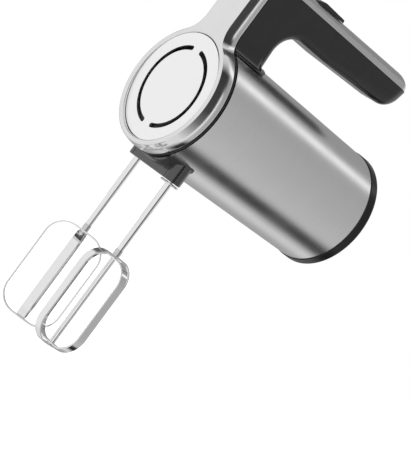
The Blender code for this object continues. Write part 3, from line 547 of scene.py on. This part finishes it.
def make_bezel():
    bm = bmesh.new()

    def ring(points, share):
        made = []
        for x, z in points:
            front, rear = bezel_depths(z)
            made.append(bm.verts.new((x, front + share * (rear - front), z)))
        return made

    rings = []
    for share, inset in bezel_layers():
        half = bezel_half(inset)
        rings.append(ring(half + [(-x, z) for x, z in reversed(half[1:])], share))
    for low, high in zip(rings, rings[1:]):
        for i in range(len(low)):
            j = (i + 1) % len(low)
            bm.faces.new((low[i], low[j], high[j], high[i]))

    angle = atan2(bezel_half(0.0)[RING_STEPS][1], bezel_half(0.0)[RING_STEPS][0])

    def bore_ring(radius, share):
        right = arc((0, 0), radius, -pi / 2, angle, RING_STEPS)
        top = arc((0, 0), radius, angle, pi - angle, TOP_STEPS)[1:-1]
        return ring(right + top + [(-x, z) for x, z in reversed(right[1:])], share)

    bores = [bore_ring(BORE_R + 0.0018 * (1 - sin(a)), 0.14 * (1 - cos(a)))
             for a in [pi / 2 * i / 8 for i in range(9)]] + [bore_ring(BORE_R, 1.0)]
    for low, high in zip(bores, bores[1:]):
        for i in range(len(low)):
            j = (i + 1) % len(low)
            bm.faces.new((low[i], low[j], high[j], high[i]))

    for outer, bore, shoulder in ((rings[0], bores[0], RING_STEPS + FLARE_STEPS),
                                  (rings[-1], bores[-1], RING_STEPS + 6)):
        for i in range(RING_STEPS):
            bm.faces.new((outer[i], outer[i + 1], bore[i + 1], bore[i]))
            bm.faces.new((outer[-i], outer[-i - 1], bore[-i - 1], bore[-i]))
        bm.faces.new(outer[RING_STEPS:shoulder + 1] + outer[-shoulder:-RING_STEPS + 1]
                     + list(reversed(bore[RING_STEPS:RING_STEPS + TOP_STEPS + 1])))
        for i in range(shoulder, len(bezel_half(0.0)) - 1):
            bm.faces.new((outer[i], outer[i + 1], outer[-i - 1], outer[-i]))
    dress(as_object("bezel_shell", bm), "bezel_chrome", "root", "front_bezel", angle=40)


def vent_slot(side, inset):
    """One arc slot with round ends, on the right (+1) or the left (-1); inset widens it."""
    end = pi / 2 - VENT_BRIDGE
    half = VENT_WIDTH / 2 + inset
    points = arc((0, 0), VENT_R + half, -end, end, 60)
    points += arc((VENT_R * cos(end), VENT_R * sin(end)), half, end, end + pi, 10)[1:-1]
    points += arc((0, 0), VENT_R - half, end, -end, 60)
    points += arc((VENT_R * cos(-end), VENT_R * sin(-end)), half, pi - end, 2 * pi - end, 10)[1:-1]
    return points if side > 0 else [(-x, z) for x, z in reversed(points)]


def make_grille():
    """Round face with two arc slots, its rims softened, leaning slightly forward at the top."""
    half, soft = 0.0010, 0.0003
    disc = layered("vent_face", lambda inset: circle(GRILLE_R - inset, 160),
                   edge_layers(-half, half, soft, 3), "XZ")
    for side in (-1, 1):
        layers = [(-half - soft, 2 * soft), (-half, soft), (-half + soft / 2, soft / 4), (-half + soft, 0.0),
                  (half + soft, 0.0)]
        carve(disc, "DIFFERENCE", layered("slot", lambda inset, s=side: vent_slot(s, inset), layers, "XZ"))
    disc.data.transform(Matrix.Translation((0, GRILLE_Y, 0)) @ Matrix.Rotation(GRILLE_TILT, 4, "X"))
    dress(disc, "face_silver", "root", "vent_grille")


def make_gasket():
    profile = rectangle(BORE_R, BEZEL_REAR_Y + GAP, SLEEVE_FRONT_R - 0.0005, SLEEVE_FRONT_Y - GAP, 0.0003, 4)
    dress(lathe("gasket_ring", profile, 160), "gasket_rubber", "root", "bezel_gasket")


def make_socket_block():
    """Stadium-shaped block with a saddle up to the sleeve, a cove in front and two bores."""
    outline = lambda inset: rectangle(-BLOCK_HALF_X, -BLOCK_HALF_Y, BLOCK_HALF_X, BLOCK_HALF_Y,
                                      0.0060, 14, inset)
    block = layered("socket_housing", outline, edge_layers(BLOCK_BOTTOM_Z, -0.0340, 0.0008, 4), "XY")
    footprint = rectangle(-BLOCK_HALF_X, SLEEVE_FRONT_Y + 2 * GAP, BLOCK_HALF_X, BLOCK_HALF_Y - 0.0001,
                          0.0020, 4)
    saddle = prism("saddle", footprint, -0.0500, -0.0341, "XY")
    carve(saddle, "INTERSECT", rod("body_curve", "Y", (0, 0, 0), SLEEVE_FRONT_R + 0.0006, -0.030, 0.030, 160))
    cove = prism("cove", arc((-0.0150, -0.0537), 0.0075, 0, pi, 28) + [(-0.0300, -0.070), (-0.0075, -0.070)],
                 -0.040, 0.040, "YZ")
    carve(block, "UNION", saddle)
    carve(block, "DIFFERENCE", cove)
    for side in (-1, 1):
        seam_x = side * 0.0222
        carve(block, "DIFFERENCE",
              rod("bore", "Z", (side * BEATER_X, 0, 0), SPINDLE_R + 2 * GAP, -0.060, -0.030, 48),
              box("seam", (seam_x - 0.0002, -0.0090, -0.0540), (seam_x + 0.0002, -0.0067, -0.0300)))
    dress(block, "block_grey", "root", "socket_block")


# ---------------------------------------------------------------- handle

HANDLE_CORNERS = [
    (-0.0300, 0.0300, 0), (0.0149, 0.0300, 0), (0.0118, 0.0790, 0.017), (0.0540, 0.0787, 0.030),
    (0.0900, 0.0801, 0.050), (0.1280, 0.0815, 0.016), (HANDLE_REAR_Y, 0.1020, 0.008),
    (HANDLE_REAR_Y, 0.1180, 0), (-0.0300, 0.1180, 0)]


def handle_section(inset):
    """Side view of the grip; its edges are rounded more widely towards the rear end."""
    plain = rounded(HANDLE_CORNERS, 12, inset)
    wide = rounded(HANDLE_CORNERS, 12, inset * 1.9)
    section = []
    for (y, z), (wide_y, wide_z) in zip(plain, wide):
        share = min(1.0, max(0.0, (y - 0.060) / 0.060))
        share = share * share * (3 - 2 * share)
        section.append((y + (wide_y - y) * share, z + (wide_z - z) * share))
    return section


def trim_plane(drop=0.0):
    """A point on the joint plane between trim and grip, and the plane's normal."""
    return Vector((0, 0, TRIM_BASE_Z - drop)), Vector((0, TRIM_FALL, 1)).normalized()


def control_openings():
    """Cutters for the slider's stem and the eject button, used on trim and grip alike."""
    return [box("knob_slot", (-0.0022, KNOB_REAR_Y - 0.018 - KNOB_TRAVEL - GAP, 0.090),
                (0.0022, KNOB_REAR_Y - 0.010 + GAP, 0.120)),
            box("button_hole", (-0.0063, BUTTON_FRONT_Y - GAP, 0.090), (0.0063, BUTTON_REAR_Y + GAP, 0.120))]


def make_skirt():
    """The flared lower end of the grip, lofted from its section down to its footprint on the sleeve."""
    front = BEZEL_REAR_Y + GAP - 0.0020
    reach = SLEEVE_FRONT_R - GAP + SKIRT_FLARE_R
    across = HANDLE_HALF + SKIRT_FLARE_R
    start = sqrt(reach ** 2 - across ** 2)
    layers = []
    for i in range(19):
        z = start - (start - 0.0400) * i / 18
        half = across - 0.00005 - sqrt(max(0.0, SKIRT_FLARE_R ** 2 - (start - z) ** 2))
        drop = min(0.0078, max(0.0, 0.0515 - z))
        rear = 0.0211 - sqrt(0.0080 ** 2 - drop ** 2) + (0.0515 - z) * 0.075 * (drop == 0.0)
        layers.append((z, half, rear, 0.0060 + 0.0055 * (i / 18) ** 0.5))
    return skin("skirt", [[(x, y, z) for x, y in rounded([(-half, front, 0), (half, front, 0),
                                                          (half, rear, soft), (-half, rear, soft)], 10)]
                          for z, half, rear, soft in layers])


def make_handle_shell(name, side, node):
    """One moulded half of the grip, hollow, with a fine chamfer along the seam."""
    rim = edge_layers(0.0, 2 * HANDLE_HALF, 0.0060, 12)
    outer = [(depth, inset) for depth, inset in rim if depth < HANDLE_HALF]
    layers = [(HANDLE_HALF - depth, inset) for depth, inset in outer]
    layers += [(GAP / 2 + 0.0004, 0.0), (GAP / 2, 0.0003)]
    shell = layered(name, handle_section, [(side * x, inset) for x, inset in layers], "YZ")
    carve(shell, "UNION", slice_off(make_skirt(), Vector((side * GAP / 2, 0, 0)), Vector((-side, 0, 0))))
    slice_off(shell, Vector((0, BEZEL_REAR_Y + GAP, 0)), Vector((0, -1, 0)))
    slice_off(shell, *trim_plane(GAP))
    inside = HANDLE_HALF - HANDLE_WALL
    low, high = sorted((side * inside, -side * 0.001))
    cavity = prism("cavity", [(-0.0166, 0.030), (0.0070, 0.030), (0.0070, 0.0840), (0.1165, 0.0850),
                              (0.1225, 0.0890), (0.1225, 0.0945), (-0.0166, 0.0975)], low, high, "YZ")
    carve(shell, "DIFFERENCE", rod("foot", "Y", (0, 0, 0), PAD_R + GAP, -0.050, 0.050, 160), cavity,
          rod("inlet", "Y", (0, 0, INLET_Z), 0.0050 + GAP, 0.120, 0.150, 48), *control_openings())
    if side < 0:
        for y in HANDLE_SCREW_YS:
            carve(shell, "DIFFERENCE", rod("sink", "X", (0, y, HANDLE_SCREW_Z), 0.0030, -0.020, -0.0090, 48))
    dress(shell, "handle_black", "root", node)


def make_trim():
    """Strip on top of the grip: upright side bands, a soft crease and a rounded crown."""
    corners = [(-0.0300, 0.0880, 0), (HANDLE_REAR_Y, 0.0880, 0), (HANDLE_REAR_Y, TRIM_TOP_Z, 0.0100),
               (-0.0300, TRIM_TOP_Z, 0)]
    half = TRIM_HALF - 0.0006
    rise = sqrt(TRIM_CROWN_R ** 2 - half ** 2)
    shoulder = [(TRIM_HALF, rise - 0.0010), (TRIM_HALF - 0.00004, rise - 0.0007),
                (TRIM_HALF - 0.00016, rise - 0.0004), (TRIM_HALF - 0.00034, rise - 0.00016)]
    crown = [(half * share, sqrt(TRIM_CROWN_R ** 2 - (half * share) ** 2)) for share in
             (1.0, 0.92, 0.84, 0.75, 0.66, 0.56, 0.45, 0.34, 0.22, 0.11)]
    right = [(x, TRIM_CROWN_R - up) for x, up in shoulder + crown]
    layers = right + [(0.0, 0.0)] + [(-x, inset) for x, inset in reversed(right)]
    trim = layered("trim_strip", lambda inset: rounded(corners, 14, inset), layers, "YZ")
    slice_off(trim, trim_plane()[0], -trim_plane()[1])
    half, clear, radius = TRIM_HALF, TRIM_HALF + 0.001, 0.0098
    plan = rounded([(-clear, BEZEL_REAR_Y + GAP, 0), (clear, BEZEL_REAR_Y + GAP, 0), (clear, 0.100, 0),
                    (half, 0.110, 0), (half, HANDLE_REAR_Y, radius), (-half, HANDLE_REAR_Y, radius),
                    (-half, 0.110, 0), (-clear, 0.100, 0)], 16)
    carve(trim, "INTERSECT", prism("plan", plan, 0.080, 0.130, "XY"))
    carve(trim, "DIFFERENCE", *control_openings())
    dress(trim, "trim_silver", "root", "handle_top_trim", angle=28)


def make_foot():
    """Thin pad between grip and sleeve, open in the middle for the ejector rod."""
    def ring(radius, inset, share=0.0):
        front, rear, half = BEZEL_REAR_Y + GAP, 0.0172, 0.0222
        outer = rounded([(-half, front, 0.0010), (half, front, 0.0010), (half, rear, 0.0115),
                         (-half, rear, 0.0115)], 10, inset)
        inner = rectangle(-ROD_OPENING_HALF, -0.0125, ROD_OPENING_HALF, 0.006, 0.0010, 10)
        points = [(a + (c - a) * share, b + (d - b) * share) for (a, b), (c, d) in zip(outer, inner)]
        return [(x, y, sqrt(radius ** 2 - x ** 2)) for x, y in points]

    low, high, soft = SLEEVE_FRONT_R + GAP, PAD_R, 0.0003
    rings = [ring(low, 0.0)]
    rings += [ring(high - soft + soft * sin(a), soft * (1 - cos(a)))
              for a in [pi / 2 * i / 6 for i in range(7)]]
    rings += [ring(high, soft, share) for share in (0.2, 0.4, 0.6, 0.8, 1.0)]
    rings += [ring(low, soft, share) for share in (1.0, 0.75, 0.5, 0.25)]
    dress(skin("foot_saddle", rings, loop=True), "handle_black", "root", "handle_foot")


def make_cord_inlet():
    profile = [(0.0050, 0.1230), (0.0050, 0.1295), (0.0047, 0.1300), (0.0033, 0.1300), (0.0028, 0.1294),
               (0.0028, 0.1230)]
    grommet = lathe("inlet_grommet", profile, 64, "Y", (0, 0, INLET_Z))
    dress(grommet, "gasket_rubber", "root", "cord_inlet")


def make_handle_screws():
    """Domed screw heads with a cross recess, sunk in the left half."""
    for index, y in enumerate(HANDLE_SCREW_YS):
        seat = -0.0090 - GAP
        profile = [(0.0, seat - 0.0018), (0.0010, seat - 0.00176), (0.0019, seat - 0.0015),
                   (0.0025, seat - 0.0010), (0.0027, seat - 0.0005), (0.0027, seat), (0.0013, seat),
                   (0.0013, seat + 0.0158), (0.0011, seat + 0.0160), (0.0, seat + 0.0160)]
        screw = lathe("grip_screw_%d" % (index + 1), profile, 48, "X", (0, y, HANDLE_SCREW_Z))
        z = HANDLE_SCREW_Z
        carve(screw, "DIFFERENCE",
              box("recess", (seat - 0.0025, y - 0.0013, z - 0.0003), (seat - 0.0009, y + 0.0013, z + 0.0003)),
              box("recess", (seat - 0.0025, y - 0.0003, z - 0.0013), (seat - 0.0009, y + 0.0003, z + 0.0013)))
        dress(screw, "steel_parts", "root", "handle_screw_%d" % (index + 1))


# ---------------------------------------------------------------- controls

def make_knob():
    """Wedge-shaped slider knob on its stem."""
    corners = [(KNOB_FRONT_Y, 0.1070, 0.0002), (KNOB_REAR_Y, 0.1070, 0.0002),
               (KNOB_REAR_Y - 0.0004, 0.1112, 0.0012), (KNOB_FRONT_Y + 0.0080, 0.11206, 0.0020),
               (KNOB_FRONT_Y, 0.1096, 0.0003)]
    knob = layered("slider_knob", lambda inset: rounded(corners, 6, inset),
                   edge_layers(-0.0062, 0.0062, 0.0007, 5), "YZ")
    stem = box("stem", (-0.0018, KNOB_REAR_Y - 0.018, 0.0975), (0.0018, KNOB_REAR_Y - 0.010, 0.1105))
    crown_middle = (0, 0, TRIM_TOP_Z - TRIM_CROWN_R)
    carve(knob, "DIFFERENCE", rod("crown", "Y", crown_middle, TRIM_CROWN_R + GAP, -0.02, 0.08, 400))
    carve(knob, "UNION", stem)
    dress(knob, "control_black", "slider", "speed_knob")


def make_button():
    """Eject button with softened rims and a shallow thumb dish."""
    def outline(inset):
        return rectangle(-0.0060, BUTTON_FRONT_Y, 0.0060, BUTTON_REAR_Y, 0.0016, 6, inset)

    top = 0.1118
    layers = [(0.0980, 0.0003), (0.0983, 0.0)]
    layers += [(top - 0.0010 + 0.0010 * sin(a), 0.0010 * (1 - cos(a)))
               for a in [pi / 2 * i / 5 for i in range(6)]]
    layers += [(top - 0.0001, 0.0018), (top - 0.0004, 0.0028), (top - 0.0006, 0.0042)]
    button = layered("button_cap", outline, layers, "XY")
    middle_y = (BUTTON_FRONT_Y + BUTTON_REAR_Y) / 2
    carve(button, "UNION",
          box("neck", (-0.0040, middle_y - 0.004, 0.0960), (0.0040, middle_y + 0.004, 0.0990)),
          box("flange", (-0.0080, BUTTON_FRONT_Y - 0.0010, 0.0945), (0.0080, BUTTON_REAR_Y + 0.0010, 0.0967)))
    dress(button, "control_black", "ejector", "eject_button")


# ---------------------------------------------------------------- beaters

def loop_corners(top, bottom):
    return [(-LOOP_HALF, bottom, 0.0160), (LOOP_HALF, bottom, 0.0160),
            (LOOP_HALF, top, 0.0155), (-LOOP_HALF, top, 0.0155)]


def make_loop(name, node, body, x, turn, top, bottom):
    """Flat strip bent to a rounded rectangle, its edges softened, pierced for the shaft."""
    half, soft = STRIP_WIDTH / 2, 0.00035
    section = rectangle(0.0, -half, STRIP_THICKNESS, half, soft, 4)
    corners = loop_corners(top, bottom)
    levels = sorted({inset for inset, _ in section})
    paths = {inset: rounded(corners, 16, inset) for inset in levels}
    count = len(paths[levels[0]])
    rings = [[(paths[inset][i][0], depth, paths[inset][i][1]) for inset, depth in section]
             for i in range(count)]
    loop = skin(name, rings, loop=True)
    loop.data.transform(Matrix.Translation((x, 0, 0)) @ Matrix.Rotation(turn, 4, "Z"))
    carve(loop, "DIFFERENCE",
          rod("hole", "Z", (x, 0, 0), TAIL_R + GAP, LOOP_BOTTOM_Z - 0.01, LOOP_TOP_Z + 0.01, 32))
    dress(loop, "beater_chrome", body, node)


def make_beater(side, x):
    body = side + "_beater"
    turn = BEATER_TURNS[side]
    top, bottom = LOOP_TOP_Z, LOOP_BOTTOM_Z
    shaft = lathe(side + "_rod", [
        (0.0, 0.0100), (SHAFT_R - 0.0010, 0.0100), (SHAFT_R, 0.0088), (SHAFT_R, top + 0.0026),
        (SHAFT_R - 0.0001, top + 0.0020), (TAIL_R, top + 0.0019), (TAIL_R, bottom + 0.0004),
        (TAIL_R - 0.0004, bottom + 0.00008), (TAIL_R - 0.0010, bottom), (0.0, bottom)], 64, "Z", (x, 0, 0))
    dress(shaft, "beater_chrome", body, side + "_beater_shaft")
    hub = lathe(side + "_hub_sleeve", [
        (HUB_R - 0.0002, top + 0.0050), (HUB_R, top + 0.0047), (HUB_R, top + 0.0006),
        (HUB_R - 0.0002, top + GAP), (SHAFT_R + GAP / 2, top + GAP),
        (SHAFT_R + GAP / 2, top + 0.0050)], 48, "Z", (x, 0, 0))
    dress(hub, "steel_parts", body, side + "_beater_hub")
    nest = STRIP_THICKNESS + GAP
    make_loop(side + "_loop_a", side + "_outer_loop", body, x, turn, top, bottom)
    make_loop(side + "_loop_b", side + "_inner_loop", body, x, turn + pi / 2, top - nest, bottom + nest)


def make_collar():
    low = BLOCK_BOTTOM_Z - 0.0022
    profile = [(0.0064, low + 0.0014), (0.0070, low + 0.0011), (0.0072, low + 0.0007), (0.0070, low + 0.0003),
               (0.0064, low), (SHAFT_R + GAP / 2, low), (SHAFT_R + GAP / 2, low + 0.0014)]
    dress(lathe("collar_disc", profile, 64, "Z", (BEATER_X, 0, 0)), "beater_chrome", "right_beater",
          "right_beater_collar")


# ---------------------------------------------------------------- carried-over frame nodes

def dress_frame_nodes():
    """Every node of the frame gets the finish of its slot."""
    slots = {part["node"]: part["material_slot"] for part in frame["record"]["subparts"]}
    for name, node in frame["nodes"].items():
        finish = FINISHES[slots[name]]
        if not node.material_slots:
            node.data.materials.append(finish)
        for holder in node.material_slots:
            holder.material = finish


# ---------------------------------------------------------------- stage

def ramp(tree, value, stops):
    """A colour ramp over (position, grey level) stops."""
    node = tree.nodes.new("ShaderNodeValToRGB")
    elements = node.color_ramp.elements
    while len(elements) > 1:
        elements.remove(elements[-1])
    elements[0].position, elements[0].color = stops[0][0], (*shade(stops[0][1]), 1)
    for position, level in stops[1:]:
        elements.new(position).color = (*shade(level), 1)
    tree.links.new(value, node.inputs["Fac"])
    return node.outputs["Color"]


def calculate(tree, operation, first, second=None):
    node = tree.nodes.new("ShaderNodeMath")
    node.operation = operation
    for socket, value in zip(node.inputs, (first, second)):
        if value is None:
            continue
        if isinstance(value, (int, float)):
            socket.default_value = value
        else:
            tree.links.new(value, socket)
    return node.outputs[0]


# Light by direction: each band holds (degrees round the mixer's long axis from +X towards +Z, level).
SIDE_BAND = [(-180, 0.60), (-150, 0.75), (-120, 0.95), (-60, 0.90), (-42, 0.55), (-22, 0.20), (0, 0.07),
             (68, 0.05), (84, 0.70), (100, 0.90), (114, 0.45), (126, 0.14), (158, 0.14), (172, 0.50),
             (180, 0.60)]
STREAK_BAND = [(-180, 0.50), (-78, 0.45), (-62, 1.00), (-20, 1.10), (30, 1.00), (44, 0.30), (54, 0.10),
               (70, 0.10), (80, 1.00), (90, 1.00), (100, 0.35), (180, 0.40)]
REAR_BAND = [(-180, 0.40), (-150, 0.40), (-138, 0.44), (-128, 0.58), (-118, 0.76), (-106, 0.74),
             (-99, 0.55), (-92, 0.20), (-86, 0.03), (-69, 0.03), (-62, 0.42), (-56, 0.60), (-46, 0.57),
             (-30, 0.53), (0, 0.48), (40, 0.44), (68, 0.41), (75, 0.60), (79, 1.20), (87, 1.20),
             (93, 0.50), (99, 0.34), (180, 0.33)]
WHITE_BAND = [(-180, 1.0), (180, 1.0)]
FRONT_BAND = [(-180, 0.98), (180, 0.98)]
# The same light from front to rear: (a direction's Y part, the band that holds there). Between two
# different bands the light blends from one to the other.
LIGHT_BANDS = [(-0.32, FRONT_BAND), (-0.12, SIDE_BAND), (0.40, SIDE_BAND), (0.455, STREAK_BAND),
               (0.49, STREAK_BAND), (0.55, REAR_BAND), (0.86, REAR_BAND), (0.94, WHITE_BAND)]


def band_colour(tree, turn, band):
    """The light of one band as a ramp over the turn round the long axis."""
    return ramp(tree, turn, [((degrees + 180) / 360, level) for degrees, level in band])


def light_studio():
    """Soft studio light as bands round the object that change from its front to its rear."""
    world = bpy.data.worlds.new("studio")
    bpy.context.scene.world = world
    world.use_nodes = True
    tree = world.node_tree
    tree.nodes.clear()
    direction = tree.nodes.new("ShaderNodeTexCoord").outputs["Generated"]
    parts = tree.nodes.new("ShaderNodeSeparateXYZ")
    tree.links.new(direction, parts.inputs[0])
    x, y, z = parts.outputs
    turn = calculate(tree, "ARCTAN2", z, x)
    turn = calculate(tree, "ADD", calculate(tree, "DIVIDE", turn, 2 * pi), 0.5)
    start, current = LIGHT_BANDS[0]
    colour = band_colour(tree, turn, current)
    for begin, band in LIGHT_BANDS[1:]:
        if band is not current:
            lean = tree.nodes.new("ShaderNodeMapRange")
            lean.inputs["From Min"].default_value = start
            lean.inputs["From Max"].default_value = begin
            tree.links.new(y, lean.inputs["Value"])
            mixed = tree.nodes.new("ShaderNodeMix")
            mixed.data_type = "RGBA"
            tree.links.new(lean.outputs["Result"], mixed.inputs["Factor"])
            tree.links.new(colour, mixed.inputs["A"])
            tree.links.new(band_colour(tree, turn, band), mixed.inputs["B"])
            colour = mixed.outputs["Result"]
        start, current = begin, band
    light = tree.nodes.new("ShaderNodeBackground")
    tree.links.new(colour, light.inputs["Color"])
    backdrop = tree.nodes.new("ShaderNodeBackground")
    backdrop.inputs["Color"].default_value = (1, 1, 1, 1)
    seen = tree.nodes.new("ShaderNodeLightPath").outputs["Is Camera Ray"]
    choose = tree.nodes.new("ShaderNodeMixShader")
    tree.links.new(seen, choose.inputs["Fac"])
    tree.links.new(light.outputs[0], choose.inputs[1])
    tree.links.new(backdrop.outputs[0], choose.inputs[2])
    output = tree.nodes.new("ShaderNodeOutputWorld")
    tree.links.new(choose.outputs[0], output.inputs["Surface"])


def make_floor():
    """Pale floor that takes a faint contact shadow."""
    bm = bmesh.new()
    bmesh.ops.create_grid(bm, x_segments=1, y_segments=1, size=6.0)
    floor = as_object("floor", bm)
    floor.location.z = CAD_BOX[0].z - 0.0005
    material, tree, shader = new_finish("floor_pale", shade(0.9), 0.0, 0.9, specular=0.0)
    shader.inputs["Emission Color"].default_value = (1, 1, 1, 1)
    shader.inputs["Emission Strength"].default_value = 0.80
    floor.data.materials.append(material)
    floor.visible_glossy = False


def make_camera():
    """Level with the mixer, ahead of it and to its right, rolled so that the beaters point down left."""
    aim = Vector((0.03196, -0.01856, 0.1290))
    back = Vector((0.7793, -0.6266, 0.0)).normalized()
    level = Vector((0.6266, 0.7793, 0.0)).normalized()
    up = Vector((0, 0, 1))
    roll = radians(36.5)
    across = level * cos(roll) + up * sin(roll)
    upright = up * cos(roll) - level * sin(roll)
    data = bpy.data.cameras.new("camera")
    data.lens = 185.6
    data.sensor_width = 36.0
    data.clip_end = 30.0
    camera = bpy.data.objects.new("camera", data)
    bpy.context.scene.collection.objects.link(camera)
    axes = Matrix((across, upright, back)).transposed().to_4x4()
    camera.matrix_world = Matrix.Translation(aim + back * 1.6) @ axes
    bpy.context.scene.camera = camera


def make_all():
    make_sleeve()
    make_rear_cap()
    make_bezel()
    make_grille()
    make_gasket()
    make_socket_block()
    make_handle_shell("grip_left", -1, "handle_left_shell")
    make_handle_shell("grip_right", 1, "handle_right_shell")
    make_trim()
    make_foot()
    make_cord_inlet()
    make_handle_screws()
    make_knob()
    make_button()
    make_beater("left", -BEATER_X)
    make_beater("right", BEATER_X)
    make_collar()
    dress_frame_nodes()


make_all()
make_floor()
light_studio()
make_camera()
bpy.context.scene.view_settings.view_transform = "Standard"
